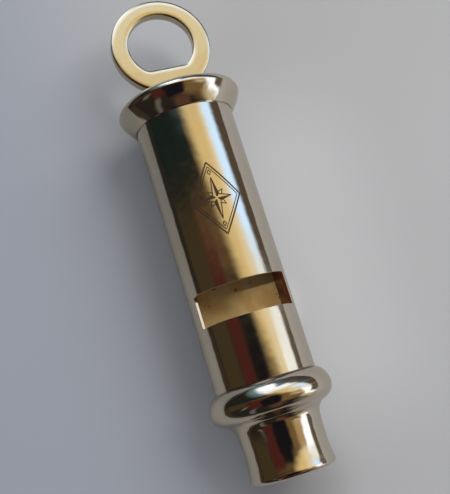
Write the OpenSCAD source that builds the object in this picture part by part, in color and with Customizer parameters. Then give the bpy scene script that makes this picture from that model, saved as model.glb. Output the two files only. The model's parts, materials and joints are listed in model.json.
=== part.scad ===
// Two-note tube whistle with a flared cap, a swivelling flat ring and a beaded mouthpiece.
// Millimetres. It lies on its side: X runs from the mouth end to the ring, +Z is up, and
// the front window looks straight up. The origin is under the middle of its length.

/* [Barrel] */
// Outside diameter of the tube
barrel_d = 16.6; // [14:0.1:19]
// Wall of the tube
barrel_wall = 0.5; // [0.4:0.05:0.8]
// Length of tube that shows between the mouthpiece and the cap
barrel_l = 45.1; // [40:0.1:60]

/* [Windows] */
// Width of both windows along the tube
window_w = 5.3; // [4:0.1:7]
// Distance from the mouthpiece's edge to the windows
window_start = 10.3; // [8:0.1:14]
// Depth of the front window on the tube's outside
front_cut = 4.5; // [3:0.1:5.5]
// Depth of the back window
back_cut = 2.2; // [1.5:0.1:2.8]

/* [Inside the barrel] */
// Thickness of the dividing plate
divider_t = 0.8; // [0.5:0.1:1.2]
// Distance of the plate's front face behind the axis
divider_offset = 3.3; // [2.6:0.1:3.8]
// Height of both air slits at their middle
slit_h = 1.5; // [1:0.1:1.9]
// Length over which each air way narrows towards its slit
ramp_l = 7; // [5:0.1:10]
// Distance from the axis to the foot of the front ramp
front_ramp_foot = 3.4; // [2:0.1:4.5]
// Thickness of the back block where its ramp starts
back_ramp_foot = 0.6; // [0.4:0.1:1]
// Thickness of the disc that closes the far end
end_disc_t = 0.8; // [0.5:0.1:1.5]
// Thickness of the stop in the back chamber
stop_t = 1.2; // [0.8:0.1:2]
// Distance from the far disc to the stop in the back chamber
stop_setback = 9; // [5:0.5:15]

/* [Mouthpiece] */
// Smallest diameter of the tip
waist_d = 13.3; // [12.5:0.05:14.5]
// Height of the lip above the waist
lip_proud = 0.35; // [0.2:0.05:0.8]
// Radius of the lip's rounded edge
lip_round = 0.7; // [0.4:0.05:0.9]
// Height above the waist where the tip meets its fillet
neck_proud = 0.15; // [0.1:0.05:0.3]
// Radius of the fillet between the tip and the bead
neck_fillet = 2.2; // [1.5:0.1:2.6]
// Distance from the mouth end to the middle of the bead
bead_z = 12; // [11.5:0.1:15]
// Radius of the bead's roundness towards the tip
bead_round = 2.4; // [2.2:0.1:2.8]
// Radius of the bead's roundness towards the tube
bead_swell = 3.2; // [2.9:0.1:3.6]
// Height of the bead above the tube
bead_proud = 1.7; // [1.2:0.1:2.2]
// Thickness of the mouthpiece's thin edge on the tube
edge_t = 0.15; // [0.1:0.05:0.3]
// Wall of the tip at its waist
tip_wall = 0.75; // [0.5:0.05:1.4]
// Length of tube held inside the mouthpiece
socket_l = 4.5; // [3.5:0.1:4.8]

/* [Cap] */
// Height of the cap's rim above the tube
cap_proud = 2.2; // [1.5:0.1:3]
// Length of the flare, from the cap's edge to its widest place
flare_l = 3.1; // [2.4:0.1:4.5]
// Thickness of the cap's edge on the tube
skirt_t = 0.25; // [0.15:0.05:0.5]
// Size of the rim's rounding, outwards
rim_out = 1.15; // [0.8:0.05:1.5]
// Size of the rim's rounding, along the axis
rim_up = 1.2; // [0.8:0.05:1.6]
// Wall of the cap's domed top
cap_t = 0.8; // [0.5:0.1:1.1]
// Length of tube held inside the cap
cap_socket = 2.3; // [1.6:0.1:2.6]
// Width of the ledge that the tube's end meets
cap_ledge = 0.9; // [0.7:0.1:1.5]

/* [Ring] */
// Outside diameter of the ring
ring_d = 17.2; // [15:0.1:20]
// Diameter of the hole in the ring
eye_d = 11.3; // [10:0.1:13]
// Distance from the hole's middle to its flat side
eye_flat = 4.5; // [4.2:0.05:4.9]
// Distance of the hole's middle beyond the ring's middle
eye_shift = 0.2; // [0:0.05:0.5]
// Radius of the hole's two corners
eye_corner = 1.8; // [0.8:0.1:2.4]
// Thickness of the ring
ring_t = 1.85; // [1.4:0.05:2.4]
// Bevel on the ring's edges
ring_bevel = 0.25; // [0.1:0.05:0.4]
// Gap between the ring and the cap, where its neck shows
ring_lift = 0.6; // [0.4:0.1:2]
// Turn of the ring from the front window's direction
ring_turn = 6; // [-90:0.5:90]
// Diameter of the ring's neck
neck_boss_d = 4.4; // [3.8:0.1:5]
// Length of the neck before it narrows
neck_boss_l = 1.2; // [1:0.1:2]
// Length over which the neck narrows to the ring's thickness
neck_taper_l = 0.9; // [0.6:0.1:2]
// Diameter of the stem that turns in the cap
stem_d = 3; // [2.4:0.1:3.4]
// Diameter of the washer inside the cap
washer_d = 5.6; // [4.8:0.1:6]
// Thickness of the washer
washer_t = 0.5; // [0.3:0.1:0.6]
// Margin of the cap's flat land outside the washer's radius
land_margin = 0.4; // [0.2:0.1:0.8]
// Diameter of the stem's riveted head
head_d = 4.4; // [3.9:0.1:4.8]
// Height of the riveted head
head_h = 0.5; // [0.3:0.1:0.6]
// Diameter of the riveted head's flat end
head_end_d = 3.1; // [2.4:0.1:3.6]

/* [Fits] */
// Gap that solder fills between fixed pieces
solder_gap = 0.02; // [0.01:0.01:0.05]
// Gap round the stem in the cap's hole
swivel_gap = 0.05; // [0.03:0.01:0.1]
// Play of the stem along its axis, at each end of the cap's top
end_play = 0.1; // [0.05:0.01:0.2]

/* [Hidden] */
$fn = 96;

nickel = [0.76, 0.69, 0.59];
brass = [0.72, 0.58, 0.34];
over = 1;
steps = 12;

barrel_r = barrel_d/2;
inner_r = barrel_r - barrel_wall;
fit_r = inner_r - solder_gap;
socket_r = barrel_r + solder_gap;

// The mouthpiece's bead, its fillet and its tip, as arcs that run into each other
bead_r = barrel_r + bead_proud - bead_round;
swell_r = barrel_r + bead_proud - bead_swell;
waist_r = waist_d/2;
lip_r = waist_r + lip_proud;
bore_r = waist_r - tip_wall;
neck_r = waist_r + neck_proud + neck_fillet;
neck_z = bead_z - sqrt(pow(bead_round + neck_fillet, 2) - pow(neck_r - bead_r, 2));
edge_r = barrel_r + edge_t;
edge_z = bead_z + sqrt(pow(bead_swell, 2) - pow(edge_r - swell_r, 2));
neck_lean = 5;
neck_start_r = neck_r - neck_fillet*cos(neck_lean);
neck_start_z = neck_z + neck_fillet*sin(neck_lean);
waist_z = neck_start_z - 2*(neck_start_r - waist_r)/tan(neck_lean);
lip_lean = atan(2*lip_proud/(waist_z - lip_round));
lip_end_r = lip_r - lip_round*(1 - cos(lip_lean));
lip_end_z = lip_round*(1 + sin(lip_lean));
mouth_chamfer = lip_round/2;

// Places along the whistle, from the mouth end
barrel_start = edge_z - socket_l;
window_z = edge_z + window_start;
cap_z = edge_z + barrel_l;
barrel_end = cap_z + cap_socket;
chamber_end = barrel_end - end_disc_t;

// The cap's rim runs into a low dome with a flat bearing land in its middle
rim_r = barrel_r + cap_proud;
rim_z = cap_z + flare_l;
rim_turn = 75;
dome_r = rim_r - rim_out + rim_out*cos(rim_turn);
dome_z = rim_z + rim_up*sin(rim_turn);
dome_h = dome_r/2*(rim_up*cos(rim_turn))/(rim_out*sin(rim_turn));
land_r = washer_d/2 + land_margin;
land_z = dome_z + dome_h*(1 - pow(land_r/dome_r, 2));
cap_cavity_r = barrel_r - cap_ledge;
flare_power = 1.35;

// The ring and its stem
eye_r = eye_d/2;
ring_z = land_z + ring_lift + ring_d/2;
stem_r = stem_d/2;
washer_top = land_z - cap_t - end_play;
head_top = washer_top - washer_t;

overall_l = ring_z + ring_d/2;
axis_h = max(rim_r, bead_r + bead_round);

// Points on an arc round c, from angle a to angle b
function arc(c, r, a, b) = [for (i = [0:steps]) c + r*[cos(a + (b - a)*i/steps), sin(a + (b - a)*i/steps)]];
// Direction from one point to another
function heading(p, q) = atan2(q[1] - p[1], q[0] - p[0]);
// Height of the cap's dome at radius r
function dome(r) = dome_z + dome_h*(1 - pow(max(r, land_r)/dome_r, 2));

// Turns a piece drawn upright, with the front window towards +x, onto its side
module lay() {
    translate([-overall_l/2, 0, axis_h]) rotate([180, -90, 0]) children();
}

// A slab across the tube, from z0 to z1 and from x0 to x1
module slab(x0, x1, z0, z1) {
    translate([x0, -2*barrel_r, z0]) cube([x1 - x0, 4*barrel_r, z1 - z0]);
}

// Wedge that starts at the axis, so that a window's ends are square to the wall
module window_cut(side, depth) {
    reach = 2*barrel_r;
    half = reach*tan(acos((barrel_r - depth)/barrel_r));
    translate([0, 0, window_z]) linear_extrude(height = window_w)
        polygon([[0, 0], [side*reach, -side*half], [side*reach, side*half]]);
}

module barrel() {
    color(nickel) lay() difference() {
        translate([0, 0, barrel_start]) cylinder(r = barrel_r, h = barrel_end - barrel_start);
        translate([0, 0, barrel_start - over]) cylinder(r = inner_r, h = barrel_end - barrel_start + 2*over);
        window_cut(1, front_cut);
        window_cut(-1, back_cut);
    }
}

module mouthpiece() {
    bead = [bead_r, bead_z];
    neck = [neck_r, neck_z];
    swell = [swell_r, bead_z];
    edge = [edge_r, edge_z];
    lip = arc([lip_r - lip_round, lip_round], lip_round, -90, lip_lean);
    tip_out = [for (i = [1:steps - 1]) let (u = 1 - i/steps)
        [waist_r + (lip_end_r - waist_r)*u*u, waist_z - (waist_z - lip_end_z)*u]];
    tip_in = [for (i = [0:steps - 1]) let (u = i/steps)
        [waist_r + (neck_start_r - waist_r)*u*u, waist_z + (neck_start_z - waist_z)*u]];
    color(nickel) lay() difference() {
        rotate_extrude() polygon(concat(
            [[bore_r, mouth_chamfer], [bore_r + mouth_chamfer/2, 0]],
            lip, tip_out, tip_in,
            arc(neck, neck_fillet, 180 - neck_lean, heading(neck, bead)),
            arc(bead, bead_round, heading(bead, neck), 0),
            arc(swell, bead_swell, 0, heading(swell, edge)),
            [[bore_r, edge_z]]));
        translate([0, 0, barrel_start]) cylinder(r = socket_r, h = socket_l + over);
    }
}

module cap() {
    flare = [for (i = [0:steps]) let (u = i/steps)
        [barrel_r + skirt_t + (cap_proud - skirt_t)*(1 - pow(1 - u, flare_power)), cap_z + flare_l*u]];
    rim = [for (i = [1:steps]) let (a = rim_turn*i/steps)
        [rim_r - rim_out + rim_out*cos(a), rim_z + rim_up*sin(a)]];
    top = [for (i = [1:steps]) let (r = dome_r + (land_r - dome_r)*i/steps) [r, dome(r)]];
    under = [for (i = [0:steps]) let (r = land_r + (cap_cavity_r - land_r)*i/steps) [r, dome(r) - cap_t]];
    color(nickel) lay() difference() {
        rotate_extrude() polygon(concat([[0, cap_z]], flare, rim, top, [[0, land_z]]));
        translate([0, 0, cap_z - over]) cylinder(r = socket_r, h = cap_socket + over);
        rotate_extrude() polygon(concat(
            [[0, barrel_end - over/2], [0, land_z - cap_t]], under, [[cap_cavity_r, barrel_end - over/2]]));
        translate([0, 0, land_z - cap_t - over]) cylinder(r = stem_r + swivel_gap, h = cap_t + 2*over);
    }
}

// The hole in the ring: round, with one flat side towards +x and two round corners
module eye() {
    corner_x = eye_flat - eye_corner;
    corner_y = sqrt(pow(eye_r - eye_corner, 2) - corner_x*corner_x);
    far = 2*ring_d;
    difference() {
        circle(r = eye_r);
        polygon([[0, 0], [corner_x, -corner_y]*far, [corner_x, corner_y]*far]);
    }
    for (side = [-1, 1]) translate([corner_x, side*corner_y]) circle(r = eye_corner);
    polygon([[0, 0], [corner_x, -corner_y], [eye_flat, -corner_y], [eye_flat, corner_y], [corner_x, corner_y]]);
}

module suspension_ring() {
    outer = ring_d/2;
    half_t = ring_t/2;
    color(nickel) lay() rotate([0, 0, ring_turn]) {
        translate([0, 0, ring_z]) rotate([0, 90, 0]) difference() {
            rotate_extrude() polygon([[0, -half_t], [outer - ring_bevel, -half_t], [outer, ring_bevel - half_t],
                [outer, half_t - ring_bevel], [outer - ring_bevel, half_t], [0, half_t]]);
            translate([-eye_shift, 0, -ring_t]) linear_extrude(height = 2*ring_t) eye();
        }
        translate([0, 0, land_z + end_play]) cylinder(d = neck_boss_d, h = neck_boss_l - end_play);
        translate([0, 0, land_z + neck_boss_l]) cylinder(d1 = neck_boss_d, d2 = ring_t, h = neck_taper_l);
        translate([0, 0, head_top - head_h/2]) cylinder(r = stem_r, h = land_z + over - head_top + head_h/2);
        translate([0, 0, head_top - head_h/2]) cylinder(d = head_d, h = head_h/2);
        translate([0, 0, head_top - head_h]) cylinder(d1 = head_end_d, d2 = head_d, h = head_h/2);
    }
}

module stem_washer() {
    color(brass) lay() translate([0, 0, head_top]) difference() {
        cylinder(d = washer_d, h = washer_t);
        translate([0, 0, -over]) cylinder(r = stem_r + solder_gap, h = washer_t + 2*over);
    }
}

// What fits the tube's bore between two heights across it
module in_bore(x0, x1, z0, z1) {
    intersection() {
        translate([0, 0, z0]) cylinder(r = fit_r, h = z1 - z0);
        slab(x0, x1, z0 - over, z1 + over);
    }
}

module divider_plate() {
    color(brass) lay()
        in_bore(-divider_offset - divider_t, -divider_offset, barrel_start, chamber_end);
}

// A block that fills the bore beside the plate, with a ramp that narrows its air way
module windway_block(foot, x0, x1) {
    slit_x = inner_r - slit_h;
    far = 2*barrel_r;
    difference() {
        in_bore(x0, x1, barrel_start, window_z);
        translate([0, far, 0]) rotate([90, 0, 0]) linear_extrude(height = 2*far)
            polygon([[foot, barrel_start - over], [foot, barrel_start], [slit_x, barrel_start + ramp_l],
                [slit_x, window_z + over], [far, window_z + over], [far, barrel_start - over]]);
    }
}

module front_windway_block() {
    color(brass) lay() windway_block(front_ramp_foot, solder_gap - divider_offset, 2*barrel_r);
}

module back_windway_block() {
    plate_back = divider_offset + divider_t + solder_gap;
    color(brass) lay() rotate([0, 0, 180])
        windway_block(plate_back + back_ramp_foot, plate_back, 2*barrel_r);
}

module end_disc() {
    color(brass) lay() translate([0, 0, chamber_end + solder_gap])
        cylinder(r = fit_r, h = end_disc_t - solder_gap);
}

module chamber_stop() {
    stop_z = chamber_end - stop_setback;
    color(brass) lay()
        in_bore(-2*barrel_r, -divider_offset - divider_t - solder_gap, stop_z - stop_t, stop_z);
}

barrel();
mouthpiece();
cap();
suspension_ring();
stem_washer();
divider_plate();
front_windway_block();
back_windway_block();
end_disc();
chamber_stop();
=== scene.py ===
# %% [markdown]
# # A plated tube whistle
# This notebook dresses a small two-note whistle for its portrait. The exact solids come from the
# construction model, which is loaded as a fixed frame. Each cell adds one thing: the camera, the
# table it lies on, the light, the finishes, and then the turned and stamped metal, piece by piece.
# Lengths are written in millimetres and turned into metres where Blender needs them.

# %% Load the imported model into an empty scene
import json
import math

import bmesh
import bpy
from mathutils import Matrix, Vector

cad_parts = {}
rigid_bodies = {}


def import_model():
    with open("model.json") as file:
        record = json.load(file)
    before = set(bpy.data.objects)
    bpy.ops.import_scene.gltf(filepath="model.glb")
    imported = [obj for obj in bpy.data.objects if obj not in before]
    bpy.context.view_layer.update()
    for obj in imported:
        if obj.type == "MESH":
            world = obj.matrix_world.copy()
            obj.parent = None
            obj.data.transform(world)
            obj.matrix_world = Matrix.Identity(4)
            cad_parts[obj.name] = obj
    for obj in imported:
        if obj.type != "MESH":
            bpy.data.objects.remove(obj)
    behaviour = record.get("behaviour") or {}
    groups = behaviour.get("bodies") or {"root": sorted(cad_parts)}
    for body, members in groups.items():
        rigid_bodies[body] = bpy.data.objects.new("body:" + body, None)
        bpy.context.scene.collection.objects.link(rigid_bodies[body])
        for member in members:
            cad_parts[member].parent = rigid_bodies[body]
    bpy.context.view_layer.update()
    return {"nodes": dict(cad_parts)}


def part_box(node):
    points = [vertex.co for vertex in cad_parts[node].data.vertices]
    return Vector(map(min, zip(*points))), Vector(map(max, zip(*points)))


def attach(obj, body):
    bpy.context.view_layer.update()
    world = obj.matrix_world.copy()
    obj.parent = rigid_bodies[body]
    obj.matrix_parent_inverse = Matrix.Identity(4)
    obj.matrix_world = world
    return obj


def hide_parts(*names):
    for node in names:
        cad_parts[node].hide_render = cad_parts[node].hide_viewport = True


for spare in list(bpy.data.objects):
    bpy.data.objects.remove(spare, do_unlink=True)

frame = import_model()

# %% [markdown]
# ## One frame for everything
# The whistle lies on its side. Its axis runs along X at a height of 10.5 mm, the mouth end is at
# the low end of X, and the sawn window looks straight up. A turned part is easiest to think of in
# the lathe's own terms, a radius, a turn and a place along the axis, so one helper changes those
# into Blender's coordinates. Turn 0 is the window's side and turns grow towards the low side of Y.
# Places count from the mouth end.

# %% Millimetres and lathe coordinates
MM = 0.001
AXIS_HEIGHT = 10.5
HALF_LENGTH = 41.55063


def mm(x, y, z):
    return Vector((x, y, z)) * MM


def on_lathe(radius, turn, place):
    return mm(place - HALF_LENGTH, -radius * math.sin(turn), AXIS_HEIGHT + radius * math.cos(turn))


print("mouth end at", on_lathe(0, 0, 0))

# %% [markdown]
# ## The camera
# The photograph was taken from just above the mouth end with a phone, from a hand's width away,
# so the near end looks larger than the far one. The place, the point it looks at and the roll
# below were worked out from the whistle's outline. A lens of 58 mm on a 36 mm sensor has the same
# angle of view. Depth of field stays off.

# %% Place the camera
CAMERA_PLACE = mm(-30.26, 17.90, 137.90)
CAMERA_AIM = mm(-4.09, -0.32, 10.50)
CAMERA_ROLL = math.radians(17.40)
LENS, SENSOR = 58.3, 36
NEAREST_SEEN = 5 * MM

forward = (CAMERA_AIM - CAMERA_PLACE).normalized()
level = forward.cross(Vector((1, 0, 0))).normalized()
upright = level.cross(forward)
right = level * math.cos(CAMERA_ROLL) - upright * math.sin(CAMERA_ROLL)
top = upright * math.cos(CAMERA_ROLL) + level * math.sin(CAMERA_ROLL)

camera_data = bpy.data.cameras.new("camera")
camera_data.lens = LENS
camera_data.sensor_width = SENSOR
camera_data.clip_start = NEAREST_SEEN
camera = bpy.data.objects.new("camera", camera_data)
facing = Matrix((right, top, -forward)).transposed().to_4x4()
camera.matrix_world = Matrix.Translation(CAMERA_PLACE) @ facing
bpy.context.scene.collection.objects.link(camera)
bpy.context.scene.camera = camera
bpy.context.scene.view_settings.view_transform = "Standard"
print("camera distance in mm:", round((CAMERA_AIM - CAMERA_PLACE).length / MM, 1))

# %% [markdown]
# ## Small tools for node trees
# Every finish here is made of nodes. Two helpers keep the cells short: one adds a node and sets
# its fields, the other joins two sockets, or writes a number or a colour into one. The soft step
# is what most patterns need: it rises smoothly from 0 to 1 as a value passes from one limit to the
# other, and the soft fall is the same step upside down. Where masks overlap, they are multiplied.

# %% Node helpers
def add(tree, kind, **fields):
    node = tree.nodes.new(kind)
    for name, value in fields.items():
        setattr(node, name, value)
    return node


def join(tree, source, target):
    if isinstance(source, tuple):
        target.default_value = (*source, 1)
    elif isinstance(source, (int, float)):
        target.default_value = source
    else:
        tree.links.new(source, target)


def calc(tree, operation, first, second=0.0, third=0.0):
    node = add(tree, "ShaderNodeMath", operation=operation)
    for socket, value in zip(node.inputs, (first, second, third)):
        join(tree, value, socket)
    return node.outputs[0]


def spread(tree, value, low, high, to_low=0.0, to_high=1.0, shape="LINEAR"):
    node = add(tree, "ShaderNodeMapRange", interpolation_type=shape)
    join(tree, value, node.inputs["Value"])
    limits = {"From Min": low, "From Max": high, "To Min": to_low, "To Max": to_high}
    for socket, limit in limits.items():
        node.inputs[socket].default_value = limit
    return node.outputs["Result"]


def soft_step(tree, value, low, high):
    return spread(tree, value, low, high, shape="SMOOTHSTEP")


def soft_fall(tree, value, low, high):
    return calc(tree, "SUBTRACT", 1.0, soft_step(tree, value, low, high))


def overlap(tree, first, *others):
    for mask in others:
        first = calc(tree, "MULTIPLY", first, mask)
    return first


def mix_colours(tree, amount, first, second):
    node = add(tree, "ShaderNodeMix", data_type="RGBA")
    join(tree, amount, node.inputs["Factor"])
    join(tree, first, node.inputs[6])
    join(tree, second, node.inputs[7])
    return node.outputs[2]


def new_material(name):
    material = bpy.data.materials.new(name)
    material.use_nodes = True
    tree = material.node_tree
    return material, tree, tree.nodes["Principled BSDF"]


print("node helpers are ready")

# %% [markdown]
# A pattern starts from a place on its piece. These helpers read that place, split it into its
# three lengths, measure how far it is from a point, stretch it along the axis, and lay a noise or
# a shallow relief over it. All is measured in metres in the piece's own frame, so a noise's scale
# is roughly its number of clouds in a metre, and a pattern stays put when the piece moves.

# %% Pattern helpers
def place_on(tree):
    return add(tree, "ShaderNodeTexCoord").outputs["Object"]


def lengths_of(tree, place):
    node = add(tree, "ShaderNodeSeparateXYZ")
    join(tree, place, node.inputs[0])
    return node.outputs


def distance_from(tree, place, point):
    node = add(tree, "ShaderNodeVectorMath", operation="DISTANCE")
    join(tree, place, node.inputs[0])
    node.inputs[1].default_value = point
    return node.outputs["Value"]


def stretched(tree, place, scale):
    node = add(tree, "ShaderNodeMapping")
    node.inputs["Scale"].default_value = scale
    join(tree, place, node.inputs["Vector"])
    return node.outputs[0]


def noise(tree, place, scale=1.0, detail=2.0):
    node = add(tree, "ShaderNodeTexNoise")
    node.inputs["Scale"].default_value = scale
    node.inputs["Detail"].default_value = detail
    join(tree, place, node.inputs["Vector"])
    return node.outputs["Fac"]


def relief(tree, height, depth, under=None, strength=1.0):
    node = add(tree, "ShaderNodeBump")
    node.inputs["Strength"].default_value = strength
    node.inputs["Distance"].default_value = depth * MM
    join(tree, height, node.inputs["Height"])
    if under is not None:
        join(tree, under, node.inputs["Normal"])
    return node.outputs[0]


print("pattern helpers are ready")

# %% [markdown]
# ## The table
# The whistle lies on a sheet of pale board. Only its face shows, so one large square does for it.

# %% The pale board
FLOOR_SIZE = 3.0

half_floor = FLOOR_SIZE / 2
floor_corners = [(x * half_floor, y * half_floor, 0) for x, y in ((-1, -1), (1, -1), (1, 1), (-1, 1))]
floor_mesh = bpy.data.meshes.new("floor")
floor_mesh.from_pydata(floor_corners, [], [(0, 1, 2, 3)])
floor = bpy.data.objects.new("floor", floor_mesh)
bpy.context.scene.collection.objects.link(floor)
print("floor:", FLOOR_SIZE, "m")

# %% [markdown]
# The board isn't one flat tone. Its paper is a little cloudy, and the polished metal on it throws
# light and shade about in a way that takes very long to trace. So that light and shade are painted
# on as tones, like washes: painted shade at the far end, painted blue-grey shade on the side away
# from the window, a painted sheen beside the tube, a painted shadow at the mouth end, painted cool
# light that falls through the ring, and painted light far out that makes the board almost white.
# Each wash has a soft mask, made of bands along X and Y or of the distance from a point.

# %% Paint light and shade onto the board as washes
PAPER_GRAIN = 14
PAPER_TONES = ((0.485, 0.482, 0.485), (0.505, 0.502, 0.500))
FAR_END_SHADE_TONE = (0.455, 0.452, 0.450)
SHADE_TONE = (0.384, 0.402, 0.454)
PAINTED_SHEEN_TONE = (0.605, 0.602, 0.605)
MOUTH_SHADOW_TONE = (0.335, 0.325, 0.325)
RING_LIGHT_TONE = (0.500, 0.512, 0.530)
FAR_OUT_LIGHT_TONE = (0.88, 0.88, 0.89)

board, tree, shader = new_material("board")
place = place_on(tree)
along = lengths_of(tree, place)


def band(axis, start, full):
    return soft_step(tree, along[axis], start * MM, full * MM)


def patch_at(point, start, full):
    return soft_step(tree, distance_from(tree, place, point), start * MM, full * MM)


# Painted shade at the far end and on the shaded side, a painted sheen beside the tube, a painted shadow at
# the mouth end, and painted light through the ring and far out.
shade_side = band("Y", -6, 34)
beside_tube = overlap(tree, band("Y", -40, -14), band("Y", 2, -12), band("X", -48, -24), band("X", 35, 5))
LIGHT_AND_SHADE_WASHES = [
    (overlap(tree, band("X", -5, 45), band("Y", -4, -20)), FAR_END_SHADE_TONE),
    (shade_side, SHADE_TONE),
    (beside_tube, PAINTED_SHEEN_TONE),
    (patch_at(mm(-44.5, -1, 0), 13, 2), MOUTH_SHADOW_TONE),
    (patch_at(mm(39, -1, 0), 9, 3), RING_LIGHT_TONE),
    (patch_at(mm(0, 0, 0), 150, 1000), FAR_OUT_LIGHT_TONE),
]
board_tone = mix_colours(tree, noise(tree, place, PAPER_GRAIN), *PAPER_TONES)
for mask, wash in LIGHT_AND_SHADE_WASHES:
    board_tone = mix_colours(tree, mask, board_tone, wash)
print("washes on the board:", len(LIGHT_AND_SHADE_WASHES))

# %% [markdown]
# The polish mirrors the board and what lies past its edge. The real sheet ends a little beyond
# the whistle on the shaded side, and the dark room starts there. Light Path's Is Glossy Ray picks
# the mirror rays out, and they alone see a painted reflection: a board darker than the camera sees
# it, with painted shade on the side away from the window, less of it towards the mouth, and past
# the edge the dark of the room painted onto the board.

# %% What the polish sees of the board
# Painted reflection: darker board tones that only mirror rays see, with painted shade on the shaded side and
# the dark room painted past the edge.
BOARD_EDGE = (58, 74)
MIRRORED_LIGHT_SIDE = (0.41, 0.40, 0.39)
MIRRORED_SHADE_SIDE = ((0.27, 0.27, 0.26), (0.37, 0.365, 0.355))
PAST_THE_EDGE = ((0.022, 0.020, 0.017), (0.062, 0.046, 0.025))
BOARD_ROUGHNESS = 0.5

towards_mouth = band("X", 20, -30)
mirrored_shade = mix_colours(tree, towards_mouth, *MIRRORED_SHADE_SIDE)
mirrored = mix_colours(tree, shade_side, MIRRORED_LIGHT_SIDE, mirrored_shade)
beyond = mix_colours(tree, towards_mouth, *PAST_THE_EDGE)
mirrored = mix_colours(tree, band("Y", *BOARD_EDGE), mirrored, beyond)
mirror_ray = add(tree, "ShaderNodeLightPath").outputs["Is Glossy Ray"]
join(tree, mix_colours(tree, mirror_ray, board_tone, mirrored), shader.inputs["Base Color"])
shader.inputs["Roughness"].default_value = BOARD_ROUGHNESS
floor_mesh.materials.append(board)
print("board nodes:", len(tree.nodes))

# %% [markdown]
# ## The light
# One large soft lamp stands at the upper right of the picture, like a window, and gives the wide
# soft shadow on the left. Inside the sawn window the real metal passes light from wall to wall and
# down onto the dividing plate, which isn't traced here. A small warm spot, aimed through the cut
# with a cone narrower than the cut is long, stands for that light and touches little but the
# plate. Both lamps are kept out of reflections, because the room in the next cells gives the
# polish something better to mirror.

# %% A window of light
LAMP_PLACE, LAMP_AIM = mm(170, -290, 410), mm(0, 0, 10)
LAMP_POWER, LAMP_SIZE, LAMP_COLOUR = 1.75, 0.36, (1.0, 0.985, 0.95)
GLINT_PLACE = mm(-5, 70, 407)
GLINT_POWER, GLINT_SIZE, GLINT_COLOUR = 2.2, 3 * MM, (1.0, 0.96, 0.88)
GLINT_CONE, GLINT_BLEND = math.radians(1.5), 0.7
plate_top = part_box("divider_plate")[1].z / MM


def hang_lamp(name, kind, place, aim, **fields):
    data = bpy.data.lights.new(name, kind)
    for field, value in fields.items():
        setattr(data, field, value)
    lamp = bpy.data.objects.new(name, data)
    lamp.location = place
    lamp.rotation_euler = (aim - place).to_track_quat("-Z", "Y").to_euler()
    lamp.visible_glossy = False
    bpy.context.scene.collection.objects.link(lamp)
    print(name, "hangs", round(place.length / MM), "mm away")


hang_lamp("window_light", "AREA", LAMP_PLACE, LAMP_AIM,
          shape="SQUARE", size=LAMP_SIZE, energy=LAMP_POWER, color=LAMP_COLOUR)
hang_lamp("window_glint", "SPOT", GLINT_PLACE, mm(-13.8, -4.6, plate_top),
          spot_size=GLINT_CONE, spot_blend=GLINT_BLEND, shadow_soft_size=GLINT_SIZE,
          energy=GLINT_POWER, color=GLINT_COLOUR)

# %% [markdown]
# ## A room for the polish to mirror
# Bright metal has hardly any look of its own: what we see is the room. So the world shows mirror
# rays a set of large soft-edged cards. A direction is given by two angles, the way a whistle on
# its side sees it: the turn round the whistle's axis, 0 straight up and growing to the picture's
# right, and the lean along the axis, towards the ring when positive. Each card is a patch between
# two turns and two leans, with soft edges and sometimes slanting ones. Later cards cover earlier
# ones. Diffuse light never sees them, so they colour nothing but the reflections.

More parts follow.
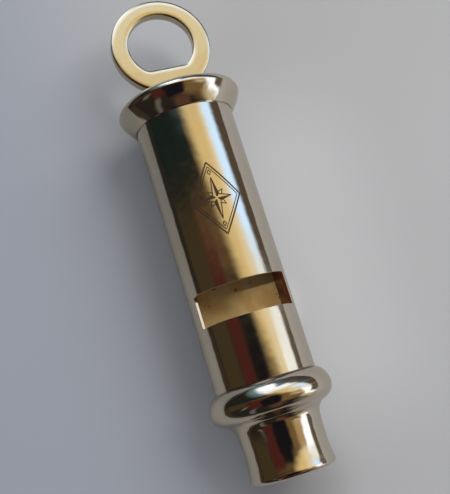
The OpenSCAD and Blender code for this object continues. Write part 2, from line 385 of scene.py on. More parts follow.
# %% The cards and their colours
ROOM_TONE = (0.02, 0.018, 0.014)
CARDS = [
    # name, colour, turns from and to, leans from and to, softness in turn and lean, slant
    ("olive_shade", (0.055, 0.04, 0.02), -120, -50, -8, 16, 8, 3, 0.0),
    ("brown_shelf", (0.13, 0.08, 0.035), -48, 10, 9, 16, 10, 3, 0.0),
    ("red_curtain", (0.075, 0.018, 0.015), -50, -23, -37, 12, 6, 4, 0.0),
    ("dark_corner", (0.010, 0.018, 0.016), -100, -16, 16, 26, 8, 3, 0.0),
    ("teal_wall", (0.14, 0.23, 0.26), -3, 90, 24, 100, 14, 5, -1.1),
    ("ceiling", (1.50, 1.65, 1.95), 18, 160, 40, 72, 16, 6, -0.9),
    ("upper_wall", (1.20, 1.28, 1.38), 14, 110, 30, 43, 8, 4, -0.9),
    ("blue_corner", (0.15, 0.26, 0.34), -14, 70, 47, 79, 9, 4, 0.5),
    ("far_shade", (0.22, 0.22, 0.21), -90, 62, 82, 100, 16, 5, 0.0),
    ("dim_wall", (0.19, 0.12, 0.05), 6, 62, -46, 1, 7, 6, 0.0),
    ("dim_glow", (0.47, 0.34, 0.16), 31, 62, -14, 1, 6, 5, 0.0),
    ("gold_gleam", (0.66, 0.58, 0.38), 34, 58, -22, -12, 12, 6, 0.0),
    ("gold_wall", (0.84, 0.65, 0.31), 22, 90, 2, 24, 14, 4, -1.25),
    ("warm_wall", (0.92, 0.83, 0.60), 23, 100, 23, 31, 8, 3, -1.3),
    ("pale_gold", (0.95, 0.84, 0.57), 32, 60, -1, 24, 10, 4, 0.0),
    ("blue_sky", (0.85, 1.22, 1.75), 61, 115, 9, 26, 9, 4, -1.0),
    ("pane_glow", (0.64, 0.56, 0.37), 57, 84, -42, -24, 7, 5, 0.0),
    ("window_pane", (1.45, 1.60, 1.85), 50, 110, -34, 3, 5, 5, -0.4),
    ("pane_corner", (1.10, 1.18, 1.25), 53, 110, -1, 9, 7, 4, 0.0),
    ("window_foot", (0.64, 0.57, 0.38), 56, 110, -46, -33, 14, 5, -0.3),
    ("window_frame", (0.13, 0.11, 0.08), 75, 130, -24, 9, 4, 5, 0.0),
    ("side_wall", (0.10, 0.075, 0.055), 78, 150, 7, 26, 6, 4, -0.7),
    ("dark_right", (0.11, 0.12, 0.14), 73, 180, 25, 79, 7, 4, -0.7),
    ("far_right", (0.07, 0.06, 0.058), 94, 220, 24, 68, 12, 6, -0.7),
    ("far_table", (0.50, 0.45, 0.36), 90, 120, -34, -12, 4, 5, 0.0),
    ("grey_fold", (0.20, 0.19, 0.185), -51, -42, -22, -11, 6, 5, 0.8),
    ("black_case", (0.008, 0.008, 0.011), -27, 13, -44, -1, 5, 2, 0.0),
    ("black_gap", (0.010, 0.009, 0.010), -20, 4, -4, 6, 5, 3, 0.0),
    ("low_red", (0.10, 0.048, 0.03), -14, 26, -76, -47, 12, 5, 0.0),
    ("grey_cloth", (0.14, 0.13, 0.125), -17, -1, -66, -38, 6, 4, 1.0),
    ("low_grey", (0.17, 0.155, 0.12), 60, 130, -62, -46, 10, 6, 0.0),
]
print("cards:", len(CARDS))

# %% [markdown]
# The world's node tree turns the ray's direction into those two angles once. A card's mask then
# takes four soft steps, one for each side of the patch, and a mix lays its colour over the room.

# %% Hang the cards in the world
world = bpy.data.worlds.new("studio")
world.use_nodes = True
bpy.context.scene.world = world
tree = world.node_tree
tree.nodes.clear()

ray_way = lengths_of(tree, add(tree, "ShaderNodeTexCoord").outputs["Generated"])
to_the_right = calc(tree, "MULTIPLY", ray_way["Y"], -1.0)
turn = calc(tree, "DEGREES", calc(tree, "ARCTAN2", to_the_right, ray_way["Z"]))
lean = calc(tree, "DEGREES", calc(tree, "ARCSINE", ray_way["X"]))


def card_mask(turn_from, turn_to, lean_from, lean_to, soft_turn, soft_lean, slant):
    leant = calc(tree, "SUBTRACT", turn, calc(tree, "MULTIPLY", lean, slant))
    return overlap(
        tree,
        soft_step(tree, leant, turn_from - soft_turn, turn_from + soft_turn),
        soft_fall(tree, leant, turn_to - soft_turn, turn_to + soft_turn),
        soft_fall(tree, lean, lean_to - soft_lean, lean_to + soft_lean),
        soft_step(tree, lean, lean_from - soft_lean, lean_from + soft_lean))


room = ROOM_TONE
for name, colour, *patch in CARDS:
    room = mix_colours(tree, card_mask(*patch), room, colour)
print("nodes for the cards:", len(tree.nodes))

# %% [markdown]
# Light Path tells the kinds of ray apart. Mirror rays see the cards, the camera sees a plain pale
# backdrop past the board's end, and all others see an even, slightly blue fill, which lifts the
# shadows without colouring the metal.

# %% Show each kind of ray its own world
FILL_COLOUR, FILL_STRENGTH = (0.93, 0.97, 1.06), 0.46
BACKDROP_COLOUR = (0.46, 0.46, 0.47)


def background(colour, strength=1.0):
    node = add(tree, "ShaderNodeBackground")
    join(tree, colour, node.inputs["Color"])
    join(tree, strength, node.inputs["Strength"])
    return node.outputs[0]


def choose(kind_of_ray, others, chosen):
    node = add(tree, "ShaderNodeMixShader")
    for socket, source in zip(node.inputs, (kind_of_ray, others, chosen)):
        join(tree, source, socket)
    return node.outputs[0]


ray = add(tree, "ShaderNodeLightPath").outputs
unseen = choose(ray["Is Glossy Ray"], background(FILL_COLOUR, FILL_STRENGTH), background(room))
whole_world = choose(ray["Is Camera Ray"], unseen, background(BACKDROP_COLOUR))
join(tree, whole_world, add(tree, "ShaderNodeOutputWorld").inputs[0])
print("world nodes:", len(tree.nodes))

# %% [markdown]
# ## Polished nickel plate
# Nickel over brass is a warm silver. A buffing wheel leaves it almost a mirror, with hairlines too
# fine to see one by one. The tube was drawn through a die, which leaves long shallow streaks, and
# pockets and keys add dents no deeper than a hair, which make straight reflections waver. Years
# of handling add faint clouds. Where the bead's thin edge meets the tube, a line of grime is laid
# with painted shade of the crease in it: a narrow darker, duller band along that seam, on the upper
# side only. The rest are noises: clouds in colour, a finer noise in roughness, and three reliefs
# laid one over another. One function makes every plated finish, because they differ only in amounts.

# %% The plated finishes
CLOUD_GRAIN, CLOUD_LIMITS = 160, (0.42, 0.68)
RUB_GRAIN, RUB_LIMITS, DENT_GRAIN = 900, (0.3, 0.75), 480
HAIRLINE_STRETCH, STREAK_STRETCH = (5200, 500, 500), (30, 700, 700)
SEAM_PLACE, SEAM_REACH, SEAM_HEIGHTS = 14.74, (0.04, 0.26), (12.5, 16.5)
GRIME_AND_SHADE_COLOUR, GRIME_DULLS = (0.20, 0.15, 0.11), 0.3


# Grime with painted shade of the crease: a darker, duller band along the bead's seam, on the upper side only.
def grime_and_shade_in_seam(tree, place):
    along = lengths_of(tree, place)
    off_seam = calc(tree, "SUBTRACT", along["X"], (SEAM_PLACE - HALF_LENGTH) * MM)
    off_seam = calc(tree, "ABSOLUTE", off_seam)
    near_seam = soft_fall(tree, off_seam, *(reach * MM for reach in SEAM_REACH))
    return overlap(tree, near_seam, soft_step(tree, along["Z"], *(height * MM for height in SEAM_HEIGHTS)))


def plated(name, colour, worn_colour, gloss, dull, hairline_depth, streak_depth, dent_depth):
    material, tree, shader = new_material(name)
    place = place_on(tree)
    wear = soft_step(tree, noise(tree, place, CLOUD_GRAIN, 4), *CLOUD_LIMITS)
    grime_and_shade = grime_and_shade_in_seam(tree, place)
    tone = mix_colours(tree, wear, colour, worn_colour)
    join(tree, mix_colours(tree, grime_and_shade, tone, GRIME_AND_SHADE_COLOUR), shader.inputs["Base Color"])
    rubbed = spread(tree, noise(tree, place, RUB_GRAIN, 3), *RUB_LIMITS, gloss, dull)
    join(tree, calc(tree, "MULTIPLY_ADD", grime_and_shade, GRIME_DULLS, rubbed), shader.inputs["Roughness"])
    hairlines = relief(tree, noise(tree, stretched(tree, place, HAIRLINE_STRETCH)), hairline_depth)
    streaks = relief(tree, noise(tree, stretched(tree, place, STREAK_STRETCH)), streak_depth, hairlines)
    dents = relief(tree, noise(tree, place, DENT_GRAIN, 1), dent_depth, streaks)
    join(tree, dents, shader.inputs["Normal"])
    shader.inputs["Metallic"].default_value = 1.0
    print(name, "has", len(tree.nodes), "nodes")
    return material


NICKEL, WORN_NICKEL = (0.75, 0.675, 0.565), (0.73, 0.645, 0.525)
HANDLED, WORN_HANDLED = (0.76, 0.68, 0.52), (0.74, 0.645, 0.48)
nickel = plated("polished_nickel", NICKEL, WORN_NICKEL, 0.05, 0.10, 0.0004, 0.002, 0.05)
drawn_nickel = plated("drawn_nickel", NICKEL, WORN_NICKEL, 0.06, 0.12, 0.0004, 0.010, 0.02)
ring_plate = plated("handled_nickel", HANDLED, WORN_HANDLED, 0.12, 0.20, 0.0006, 0.003, 0.01)

# %% [markdown]
# ## Brass that never saw the polisher
# Inside, the brass was soldered, rinsed and left. It is dull, brown where flux and breath have
# stained it, and yellower where it stayed clean. Stains come from a noise pushed through a soft
# step, and small dark pits from the cells of a Voronoi pattern. The plate in the window also has a
# few dark spots of corrosion. Each is a distance from its middle, and the stain's own noise makes
# its edge ragged.

# %% The inner brass finishes
STAIN_GRAIN, STAIN_LIMITS = 320, (0.40, 0.66)
STAIN_DEPTH, STAIN_STRENGTH = 0.01, 0.5
PIT_GRAIN, PIT_REACH, PIT_COLOUR = 420, (0.06, 0.16), (0.03, 0.018, 0.01)
SPOT_COLOUR, SPOT_STRENGTH, SPOT_MIDDLE, RAGGED = (0.07, 0.04, 0.02), 0.8, 0.1, 0.9
SPOTS = ((-10.93, -0.33, 0.55), (-13.5, -6.7, 0.45), (-14.2, -7.0, 0.35), (-9.7, 3.2, 0.45))


def spotted(tree, place, blotches, tone):
    ragged = calc(tree, "MULTIPLY_ADD", blotches, RAGGED * MM, -RAGGED / 2 * MM)
    for x, y, reach in SPOTS:
        edge_at = calc(tree, "ADD", distance_from(tree, place, mm(x, y, plate_top)), ragged)
        spot = soft_fall(tree, edge_at, SPOT_MIDDLE * MM, reach * MM)
        tone = mix_colours(tree, calc(tree, "MULTIPLY", spot, SPOT_STRENGTH), tone, SPOT_COLOUR)
    return tone


def aged_brass(name, clean, stained, pit_amount, rough_from, rough_to, bare):
    material, tree, shader = new_material(name)
    place = place_on(tree)
    blotches = noise(tree, place, STAIN_GRAIN, 6)
    stain = soft_step(tree, blotches, *STAIN_LIMITS)
    tone = mix_colours(tree, stain, clean, stained)
    cells = add(tree, "ShaderNodeTexVoronoi")
    cells.inputs["Scale"].default_value = PIT_GRAIN
    join(tree, place, cells.inputs["Vector"])
    pits = soft_fall(tree, cells.outputs["Distance"], *PIT_REACH)
    tone = mix_colours(tree, calc(tree, "MULTIPLY", pits, pit_amount), tone, PIT_COLOUR)
    join(tree, spotted(tree, place, blotches, tone), shader.inputs["Base Color"])
    rough = calc(tree, "MULTIPLY_ADD", stain, rough_to - rough_from, rough_from)
    join(tree, rough, shader.inputs["Roughness"])
    crust = relief(tree, blotches, STAIN_DEPTH, strength=STAIN_STRENGTH)
    join(tree, crust, shader.inputs["Normal"])
    shader.inputs["Metallic"].default_value = bare
    print(name, "has", len(tree.nodes), "nodes")
    return material


stained_brass = aged_brass("stained_brass", (1.0, 0.73, 0.34), (0.90, 0.57, 0.22), 0.3, 0.42, 0.60, 0.45)
plain_brass = aged_brass("plain_brass", (0.70, 0.54, 0.30), (0.56, 0.40, 0.20), 0.2, 0.30, 0.45, 1.0)
bore_brass = aged_brass("bore_brass", (0.40, 0.25, 0.15), (0.22, 0.12, 0.07), 0.3, 0.35, 0.55, 0.8)

# %% [markdown]
# ## A lathe in code
# Two of the pieces were turned or spun, and the ring's neck too, so one function spins an outline
# round the axis. An outline is a closed loop of radius and place, and two small helpers give its
# arcs and headings. The mesh has 288 sides, enough for a smooth edge in a close view.

# %% Outlines and the lathe
SIDES = 288
SHARP_ANGLE = math.radians(32)


def between(a, b, steps):
    return [a + (b - a) * i / steps for i in range(steps + 1)]


def arc(centre, radius, start, end, steps):
    turns = [math.radians(angle) for angle in between(start, end, steps)]
    return [(centre[0] + radius * math.cos(t), centre[1] + radius * math.sin(t)) for t in turns]


def heading(a, b):
    return math.degrees(math.atan2(b[1] - a[1], b[0] - a[0]))


def skin(bm, loops):
    for here, there in zip(loops, loops[1:] + loops[:1]):
        for k in range(len(here)):
            after = (k + 1) % len(here)
            bm.faces.new((here[k], here[after], there[after], there[k]))


def spin(bm, outline, sides=SIDES):
    turns = [2 * math.pi * side / sides for side in range(sides)]
    skin(bm, [[bm.verts.new(on_lathe(r, turn, z)) for r, z in outline] for turn in turns])


print("the lathe has", SIDES, "sides")

# %% [markdown]
# A finished mesh becomes a Blender object with smooth shading, broken only at true corners. The
# polisher's wheel never reached inside a bore, so faces that look straight at the axis get the
# second material. Last, a new piece stands for its solid: the solid is hidden and the piece rides
# on the same body.

# %% From mesh to piece
STRAIGHT_IN = -0.95


def link_piece(name, bm, materials):
    bmesh.ops.recalc_face_normals(bm, faces=bm.faces)
    mesh = bpy.data.meshes.new(name)
    bm.to_mesh(mesh)
    bm.free()
    for material in materials:
        mesh.materials.append(material)
    mesh.shade_smooth()
    mesh.set_sharp_from_angle(angle=SHARP_ANGLE)
    piece = bpy.data.objects.new(name, mesh)
    bpy.context.scene.collection.objects.link(piece)
    return piece


def looks_inward(face):
    centre = face.calc_center_median()
    outward = Vector((0, centre.y, centre.z - AXIS_HEIGHT * MM)).normalized()
    return face.normal.dot(outward) < STRAIGHT_IN


def turned(name, outline, materials):
    bm = bmesh.new()
    spin(bm, outline)
    bmesh.ops.recalc_face_normals(bm, faces=bm.faces)
    for face in bm.faces:
        face.material_index = 1 if looks_inward(face) else 0
    return link_piece(name, bm, materials)


def stand_for(piece, node, body="whistle"):
    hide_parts(node)
    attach(piece, body)
    print(node, "->", piece.name, len(piece.data.polygons), "faces")


print("corners sharper than", round(math.degrees(SHARP_ANGLE)), "degrees stay crisp")

# %% [markdown]
# ## The mouthpiece
# One turning: a rounded lip, a tip that waists in slightly so that teeth can hold it, a small
# hollow curve, and then the fat bead that keeps the whistle from sliding into the mouth. Towards
# the tube the bead is fuller, and it comes down to a thin edge on the tube. Each curve runs into
# the next without a kink, so the outline is a chain of arcs whose ends share a direction.

# %% Sizes of the mouthpiece
TUBE_R, TUBE_WALL, SOLDER_GAP = 8.3, 0.5, 0.02
WAIST_R, LIP_R, LIP_ROUND = 6.65, 7.0, 0.7
TIP_BORE_R, MOUTH_CHAMFER = 5.9, 0.35
BEAD_PROUD, BEAD_PLACE, BEAD_ROUND, BEAD_SWELL, EDGE_T = 1.7, 12.0, 2.4, 3.2, 0.15
NECK_FILLET, NECK_RISE, NECK_LEAN = 2.2, 0.15, 5
SOCKET_L = 4.5

socket_r = TUBE_R + SOLDER_GAP
bead = (TUBE_R + BEAD_PROUD - BEAD_ROUND, BEAD_PLACE)
swell = (TUBE_R + BEAD_PROUD - BEAD_SWELL, BEAD_PLACE)
neck_r = WAIST_R + NECK_RISE + NECK_FILLET
neck = (neck_r, bead[1] - math.sqrt((BEAD_ROUND + NECK_FILLET) ** 2 - (neck_r - bead[0]) ** 2))
edge_r = TUBE_R + EDGE_T
edge_place = swell[1] + math.sqrt(BEAD_SWELL ** 2 - (edge_r - swell[0]) ** 2)
tube_start = edge_place - SOCKET_L
print("the bead's thin edge is", round(edge_place, 2), "mm from the mouth")

# %% [markdown]
# The tip's hollow is two half parabolas that meet at the waist. The one towards the bead ends
# with the fillet's own lean, which fixes where the waist has to be. The other runs from there to
# the lip, and its lean at the end is where the lip's round takes over.

# %% Turn the mouthpiece
neck_lean = math.radians(NECK_LEAN)
neck_foot = (neck[0] - NECK_FILLET * math.cos(neck_lean), neck[1] + NECK_FILLET * math.sin(neck_lean))
waist_place = neck_foot[1] - 2 * (neck_foot[0] - WAIST_R) / math.tan(neck_lean)
lip_lean = math.atan(2 * (LIP_R - WAIST_R) / (waist_place - LIP_ROUND))
lip_top = (LIP_R - LIP_ROUND * (1 - math.cos(lip_lean)), LIP_ROUND * (1 + math.sin(lip_lean)))


def tip_curve(end, steps=16):
    rise, run = end[0] - WAIST_R, end[1] - waist_place
    return [(WAIST_R + rise * u * u, waist_place + run * u) for u in between(0, 1, steps)]


mouth_outline = (
    [(TIP_BORE_R, MOUTH_CHAMFER), (TIP_BORE_R + MOUTH_CHAMFER / 2, 0)]
    + arc((LIP_R - LIP_ROUND, LIP_ROUND), LIP_ROUND, -90, math.degrees(lip_lean), 12)
    + tip_curve(lip_top)[-2:0:-1] + tip_curve(neck_foot)[:-1]
    + arc(neck, NECK_FILLET, 180 - NECK_LEAN, heading(neck, bead), 16)
    + arc(bead, BEAD_ROUND, heading(bead, neck), 0, 28)[1:]
    + arc(swell, BEAD_SWELL, 0, heading(swell, (edge_r, edge_place)), 28)[1:]
    + [(socket_r, edge_place), (socket_r, tube_start), (TIP_BORE_R, tube_start)])
mouthpiece = turned("turned_mouthpiece", mouth_outline, (nickel, bore_brass))
stand_for(mouthpiece, "mouthpiece")

# %% [markdown]
# ## The cap
# Spun from sheet, the cap flares out from a thin skirt on the tube to its widest place and then
# rolls over a tight rim into a low dome. In its middle a flat land carries the ring's neck. The
# flare's curve is steep at first and runs out level, which a power curve gives with one number.

# %% Sizes of the cap
TUBE_SHOWS, TUBE_IN_CAP = 45.1, 2.3
CAP_PROUD, FLARE_L, SKIRT_T, FLARE_POWER = 2.2, 3.1, 0.25, 1.35
RIM_OUT, RIM_UP, RIM_TURN = 1.15, 1.2, math.radians(75)
CAP_T, CAP_LEDGE, LAND_R, STEM_HOLE_R = 0.8, 0.9, 3.2, 1.55

cap_place = edge_place + TUBE_SHOWS
tube_end = cap_place + TUBE_IN_CAP
rim_r, rim_place = TUBE_R + CAP_PROUD, cap_place + FLARE_L
dome_r = rim_r - RIM_OUT * (1 - math.cos(RIM_TURN))
dome_place = rim_place + RIM_UP * math.sin(RIM_TURN)
dome_h = dome_r / 2 * (RIM_UP * math.cos(RIM_TURN)) / (RIM_OUT * math.sin(RIM_TURN))


def dome(radius):
    return dome_place + dome_h * (1 - (max(radius, LAND_R) / dome_r) ** 2)


land_place = dome(LAND_R)
print("the cap is", 2 * rim_r, "mm across, with its land at", round(land_place, 2), "mm")

# %% [markdown]
# The outline follows the sheet: up the flare, over the rim, in to the land, down the stem's hole,
# and back under the dome to the ledge on which the tube's end sits.

# %% Spin the cap
flare_rise = CAP_PROUD - SKIRT_T
flare = [(TUBE_R + SKIRT_T + flare_rise * (1 - (1 - u) ** FLARE_POWER), cap_place + FLARE_L * u)
         for u in between(0, 1, 28)]
rim = [(rim_r - RIM_OUT * (1 - math.cos(t)), rim_place + RIM_UP * math.sin(t))
       for t in between(0, RIM_TURN, 20)]
crown = [(r, dome(r)) for r in between(dome_r, LAND_R, 16)]
stem_hole = [(STEM_HOLE_R, land_place), (STEM_HOLE_R, land_place - CAP_T)]
ledge_r = TUBE_R - CAP_LEDGE
under = [(r, dome(r) - CAP_T) for r in between(LAND_R, ledge_r, 12)]
cap_outline = (
    flare + rim[1:] + crown[1:] + stem_hole + under
    + [(ledge_r, tube_end), (socket_r, tube_end), (socket_r, cap_place)])
cap = turned("spun_cap", cap_outline, (nickel, bore_brass))
stand_for(cap, "cap")

# %% [markdown]
# ## The tube
# A drawn tube with two windows cut across it, the deep one on top and a shallow one underneath.
# The wall is laid out as a grid of turns and places, with lines exactly where each window ends,
# and SPANS counts the squares from one such line to the next. The file leaves the front window's
# ends almost square to the wall: the inner edge stands in by a hair, so the end catches light.

# %% Lay out the tube's wall
WINDOW_PLACE, WINDOW_WIDE = 10.3, 5.3
FRONT_CUT, BACK_CUT = 4.5, 2.2
FILE_LEAN = 0.997
SPANS = (48, 96, 48, 64)

bore_r = TUBE_R - TUBE_WALL
window_start = edge_place + WINDOW_PLACE
places = (tube_start, window_start, window_start + WINDOW_WIDE, tube_end)
front_turn = math.acos((TUBE_R - FRONT_CUT) / TUBE_R)
back_turn = math.pi - math.acos((TUBE_R - BACK_CUT) / TUBE_R)
corners = (-back_turn, -front_turn, front_turn, back_turn, 2 * math.pi - back_turn)
turns = []
for start, end, steps in zip(corners, corners[1:], SPANS):
    turns += between(start, end, steps)[:-1]
columns = len(turns)
front_columns = range(SPANS[0], SPANS[0] + SPANS[1])
back_columns = range(sum(SPANS[:3]), columns)
opened = set(front_columns) | set(back_columns)


def wall_turn(radius, turn):
    leans = radius == bore_r and abs(turn) <= front_turn
    return turn * FILE_LEAN if leans else turn


print("the wall has", columns, "columns,", len(opened), "of them open")

# %% [markdown]
# Squares inside a window are left out and the cut's own faces are put in, which gives a clean
# closed mesh with no boolean. A narrow bevel breaks the sawn edges, because an edge with no width
# never catches light.

# %% Saw the windows
BROKEN_EDGE, BEVEL_ABOVE = 0.05, math.radians(35)

bm = bmesh.new()
wall = {(radius, row, col): bm.verts.new(on_lathe(radius, wall_turn(radius, turn), place))
        for radius in (TUBE_R, bore_r)
        for row, place in enumerate(places) for col, turn in enumerate(turns)}


def face_of(*keys):
    return bm.faces.new([wall[key] for key in keys])


def wall_square(radius, row, col, after):
    return face_of((radius, row, col), (radius, row, after), (radius, row + 1, after), (radius, row + 1, col))


for col in range(columns):
    after = (col + 1) % columns
    for row in range(3):
        if row != 1 or col not in opened:
            wall_square(TUBE_R, row, col, after)
            wall_square(bore_r, row, col, after).material_index = 1
    for row in (0, 1, 2, 3):
        if row in (0, 3) or col in opened:
            face_of((TUBE_R, row, col), (TUBE_R, row, after), (bore_r, row, after), (bore_r, row, col))
for cut in (front_columns, back_columns):
    for col in (cut[0], (cut[-1] + 1) % columns):
        face_of((TUBE_R, 1, col), (TUBE_R, 2, col), (bore_r, 2, col), (bore_r, 1, col))
barrel = link_piece("sawn_tube", bm, (drawn_nickel, bore_brass))

broken_edge = barrel.modifiers.new("broken_edge", "BEVEL")
broken_edge.width = BROKEN_EDGE * MM
broken_edge.segments = 3
broken_edge.limit_method = "ANGLE"
broken_edge.angle_limit = BEVEL_ABOVE
broken_edge.harden_normals = True
stand_for(barrel, "barrel")

# %% [markdown]
# ## The ring
# Stamped from plate: a flat ring whose hole has one straight side towards the cap. The band's
# width changes all the way round, so it is lofted from stations. A station is a point on the
# hole's edge and the direction that leads out from it. They go round the long arc first, then
# round one small corner, along the straight side and round the other corner.

# %% Stations round the ring's hole
RING_R, EYE_R, EYE_FLAT, EYE_CORNER = 8.6, 5.65, 4.5, 1.8

corner_x = EYE_FLAT - EYE_CORNER
corner_y = math.sqrt((EYE_R - EYE_CORNER) ** 2 - corner_x ** 2)
corner_at = math.degrees(math.atan2(corner_y, corner_x))


def way_out(angle):
    return Vector((math.cos(math.radians(angle)), math.sin(math.radians(angle))))


def corner(side, start, end):
    middle = Vector((corner_x, side * corner_y))
    return [(middle + way_out(angle) * EYE_CORNER, way_out(angle)) for angle in between(start, end, 12)]


straight_side = [(Vector((EYE_FLAT, y)), Vector((1, 0))) for y in between(-corner_y, corner_y, 24)]
stations = [(way_out(angle) * EYE_R, way_out(angle)) for angle in between(corner_at, 360 - corner_at, 200)]
stations += corner(-1, -corner_at, 0)[1:] + straight_side[1:-1] + corner(1, 0, corner_at)[:-1]
print("ring stations:", len(stations))

# %% [markdown]
# At each station the section starts at the hole's edge, rolls over onto the face, runs out to the
# rim, rolls over again and comes back along the other face. The stamping tool leaves such rolled
# edges, and they give the ring its bright outlines. The ring is free to turn in the cap, and it
# lies as it was found, turned by six degrees.

# %% Loft the band of the ring
RING_T, ROLL_WIDE, ROLL_DEEP, FLAT_EDGE = 1.85, 0.9, 0.22, 0.03
EYE_SHIFT, RING_LIFT, RING_TURN = 0.2, 0.6, math.radians(6)

half_t = RING_T / 2
ring_place = land_place + RING_LIFT + RING_R
quarter = between(0, math.pi / 2, 10)


def on_ring(x, y, height):
    side = height * math.sin(RING_TURN) + y * math.cos(RING_TURN)
    lift = height * math.cos(RING_TURN) - y * math.sin(RING_TURN)
    return mm(ring_place - x - HALF_LENGTH, -side, AXIS_HEIGHT + lift)


def rolled_edge(start, into):
    roll = [(start + into * ROLL_WIDE * (1 - math.cos(q)), half_t - ROLL_DEEP * (1 - math.sin(q)))
            for q in quarter]
    return roll + [(start + into * (ROLL_WIDE + FLAT_EDGE), half_t)]


def section_at(eye_point, out):
    edge_point = eye_point - Vector((EYE_SHIFT, 0))
    rim_out = edge_point.normalized()
    front = rolled_edge(edge_point, out) + rolled_edge(rim_out * RING_R, -rim_out)[::-1]
    return front + [(point, -height) for point, height in reversed(front)]


bm = bmesh.new()
skin(bm, [[bm.verts.new(on_ring(p.x, p.y, h)) for p, h in section_at(*station)] for station in stations])
ring = link_piece("stamped_ring", bm, (ring_plate, ring_plate))
print("ring band:", len(ring.data.polygons), "faces")

# %% [markdown]
# The neck, stem and riveted head are turned in one go. Their outline closes a fiftieth of a
# millimetre from the axis instead of on it, so the turning is a closed mesh with no thin fan of
# faces in its middle. A boolean union then makes ring and neck one solid, as they are on the real
# one.

# %% Turn the ring's neck and join it
NECK_SIDES, NEAR_AXIS = 96, 0.02
NECK_R, NECK_L, NECK_TAPER = 2.2, 1.2, 0.9
STEM_R, END_PLAY, WASHER_T, HEAD_R, HEAD_END_R, HEAD_H = 1.5, 0.1, 0.5, 2.2, 1.55, 0.5

head_top = land_place - CAP_T - END_PLAY - WASHER_T
head_end = head_top - HEAD_H
neck_start = land_place + END_PLAY
neck_end = land_place + NECK_L + NECK_TAPER
neck_outline = [
    (NEAR_AXIS, head_end), (HEAD_END_R, head_end), (HEAD_R, head_top - HEAD_H / 2), (HEAD_R, head_top),
    (STEM_R, head_top), (STEM_R, neck_start), (NECK_R, neck_start), (NECK_R, land_place + NECK_L),
    (half_t, neck_end), (NEAR_AXIS, neck_end)]
bm = bmesh.new()
spin(bm, neck_outline, NECK_SIDES)
neck_turning = link_piece("neck_turning", bm, (ring_plate,))

union = ring.modifiers.new("neck", "BOOLEAN")
union.operation = "UNION"
union.object = neck_turning
union.solver = "EXACT"
joined = bpy.data.meshes.new_from_object(ring.evaluated_get(bpy.context.evaluated_depsgraph_get()))
ring.modifiers.remove(union)
ring.data = joined
joined.set_sharp_from_angle(angle=SHARP_ANGLE)
bpy.data.objects.remove(neck_turning, do_unlink=True)
stand_for(ring, "suspension_ring", "ring")

# %% [markdown]
# ## An engraved star
# The tube carries an engraved ornament with no words, here a mariner's star in a lozenge. The
# cutter goes through the plate, and the bared brass darkens, so each stroke is a hair of dark
# metal let into the wall. The design is drawn flat, in millimetres across and along, and laid onto
# the tube in small steps so that it follows the curve. A stroke is a patch between a left and a
# right line, closed on all sides.

# %% Lay strokes onto the tube
STAR_PLACE, STAR_TURN = 43.65, math.radians(1.5)
INLAY_TOP, INLAY_FOOT = TUBE_R + 0.012, TUBE_R - 0.03
STEP = 0.25

star_bm = bmesh.new()


def on_wall(point, radius):
    return star_bm.verts.new(on_lathe(radius, STAR_TURN + point.x / TUBE_R, STAR_PLACE + point.y))


def lay_patch(left, right, splits):
    rows = []
    for a, b in zip(left, right):
        line = [a.lerp(b, i / splits) for i in range(splits + 1)]
        rows.append([(on_wall(p, INLAY_TOP), on_wall(p, INLAY_FOOT)) for p in line])
    for here, there in zip(rows, rows[1:]):
        for k in range(splits):
            for layer in (0, 1):
                star_bm.faces.new((here[k][layer], here[k + 1][layer], there[k + 1][layer], there[k][layer]))
        for k in (0, splits):
            star_bm.faces.new((here[k][0], here[k][1], there[k][1], there[k][0]))
    for end in (rows[0], rows[-1]):
        for k in range(splits):
            star_bm.faces.new((end[k][0], end[k + 1][0], end[k + 1][1], end[k][1]))


def stepped(points):
    path = [points[0]]
    for a, b in zip(points, points[1:]):
        count = max(1, math.ceil((b - a).length / STEP))
        path += [a.lerp(b, i / count) for i in range(1, count + 1)]
    return path


def stroke(points, width):
    path = stepped([Vector(p) for p in points])
    left, right = [], []
    for k, p in enumerate(path):
        run = (path[min(k + 1, len(path) - 1)] - path[max(k - 1, 0)]).normalized()
        side = Vector((-run.y, run.x)) * width / 2
        left.append(p + side)
        right.append(p - side)
    lay_patch(left, right, 1)


print("strokes are", round(INLAY_TOP - INLAY_FOOT, 3), "mm deep, laid in steps of", STEP, "mm")

# %% [markdown]
# A mariner's star has four long points and four short ones. Each long point is split down its
# middle, one half dark and one half bare, which makes it look faceted. A lozenge of two lines,
# one heavy and one fine, frames it, with a small diamond in each far corner.

# %% Draw the star and its frame
LONG_POINTS = {0: 3.5, 90: 2.4, 180: 3.5, 270: 2.4}
POINT_FOOT, POINT_LINE = 0.75, 0.17
SHORT_POINTS = (45, 135, 225, 315)
SHORT_POINT, SHORT_FOOT, SHORT_SPREAD, SHORT_LINE = 1.75, 0.95, 24, 0.16
FRAME, HEAVY_LINE = (6.0, 4.0), 0.25
INNER_FRAME, FINE_LINE = (5.25, 3.5), 0.15
DIAMOND, DIAMOND_PLACE, DIAMOND_LINE = (0.42, 0.26), 4.3, 0.17


def at(angle, length):
    return (length * math.sin(math.radians(angle)), length * math.cos(math.radians(angle)))


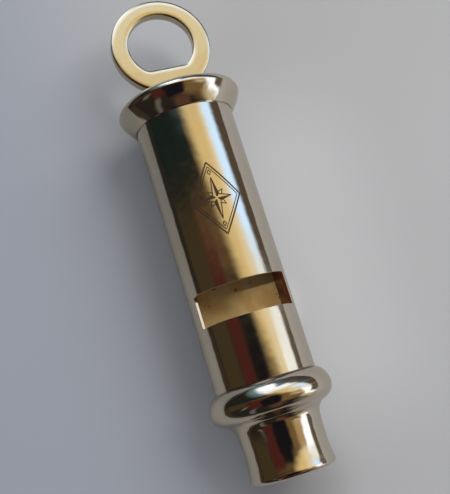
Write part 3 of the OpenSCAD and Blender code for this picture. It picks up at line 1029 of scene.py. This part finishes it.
def dark_half(tip, flank, steps=12):
    centre, end = Vector((0, 0)), Vector(tip)
    spine = [centre.lerp(end, i / steps) for i in range(steps + 1)]
    bend = stepped([centre, Vector(flank), end])
    outer = [bend[round(i * (len(bend) - 1) / steps)] for i in range(steps + 1)]
    lay_patch(spine[1:-1], outer[1:-1], 2)


def lozenge(size, width, place=0):
    half_length, half_width = size
    corners = ((0, half_length), (half_width, 0), (0, -half_length), (-half_width, 0), (0, half_length))
    stroke([(x, place + y) for x, y in corners], width)


for angle, length in LONG_POINTS.items():
    tip, left, right = at(angle, length), at(angle - 45, POINT_FOOT), at(angle + 45, POINT_FOOT)
    stroke([left, tip, right], POINT_LINE)
    dark_half(tip, right)
for angle in SHORT_POINTS:
    feet = [at(angle + spread_by, SHORT_FOOT) for spread_by in (-SHORT_SPREAD, SHORT_SPREAD)]
    stroke([feet[0], at(angle, SHORT_POINT), feet[1]], SHORT_LINE)
lozenge(FRAME, HEAVY_LINE)
lozenge(INNER_FRAME, FINE_LINE)
for side in (-1, 1):
    lozenge(DIAMOND, DIAMOND_LINE, side * DIAMOND_PLACE)
print("star faces:", len(star_bm.faces))

# %% [markdown]
# The cut metal is rough and dark brown, and a fine noise keeps it from looking like paint. The
# star rides with the tube.

# %% Darken the cuts
CUT_GRAIN, CUT_ROUGHNESS = 2500, 0.6
CUT_TONES = ((0.030, 0.014, 0.006), (0.075, 0.038, 0.017))

dark_cut, tree, shader = new_material("dark_cut")
cut_tone = mix_colours(tree, noise(tree, place_on(tree), CUT_GRAIN), *CUT_TONES)
join(tree, cut_tone, shader.inputs["Base Color"])
shader.inputs["Roughness"].default_value = CUT_ROUGHNESS
star = link_piece("engraved_star", star_bm, (dark_cut,))
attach(star, "whistle")
print("the star wears", dark_cut.name)

# %% [markdown]
# ## The pieces inside
# The dividing plate, the two blocks that leave the air slits, the far disc, the stop and the
# washer keep their exact solids. They only need their finish: stained brass where breath and
# light reach, plainer brass behind.

# %% Dress the inner pieces
INNER = {
    "divider_plate": stained_brass, "front_windway_block": plain_brass, "back_windway_block": plain_brass,
    "end_disc": plain_brass, "chamber_stop": plain_brass, "stem_washer": plain_brass,
}
for node, material in INNER.items():
    for slot in frame["nodes"][node].material_slots:
        slot.material = material
    print(node, "wears", material.name)
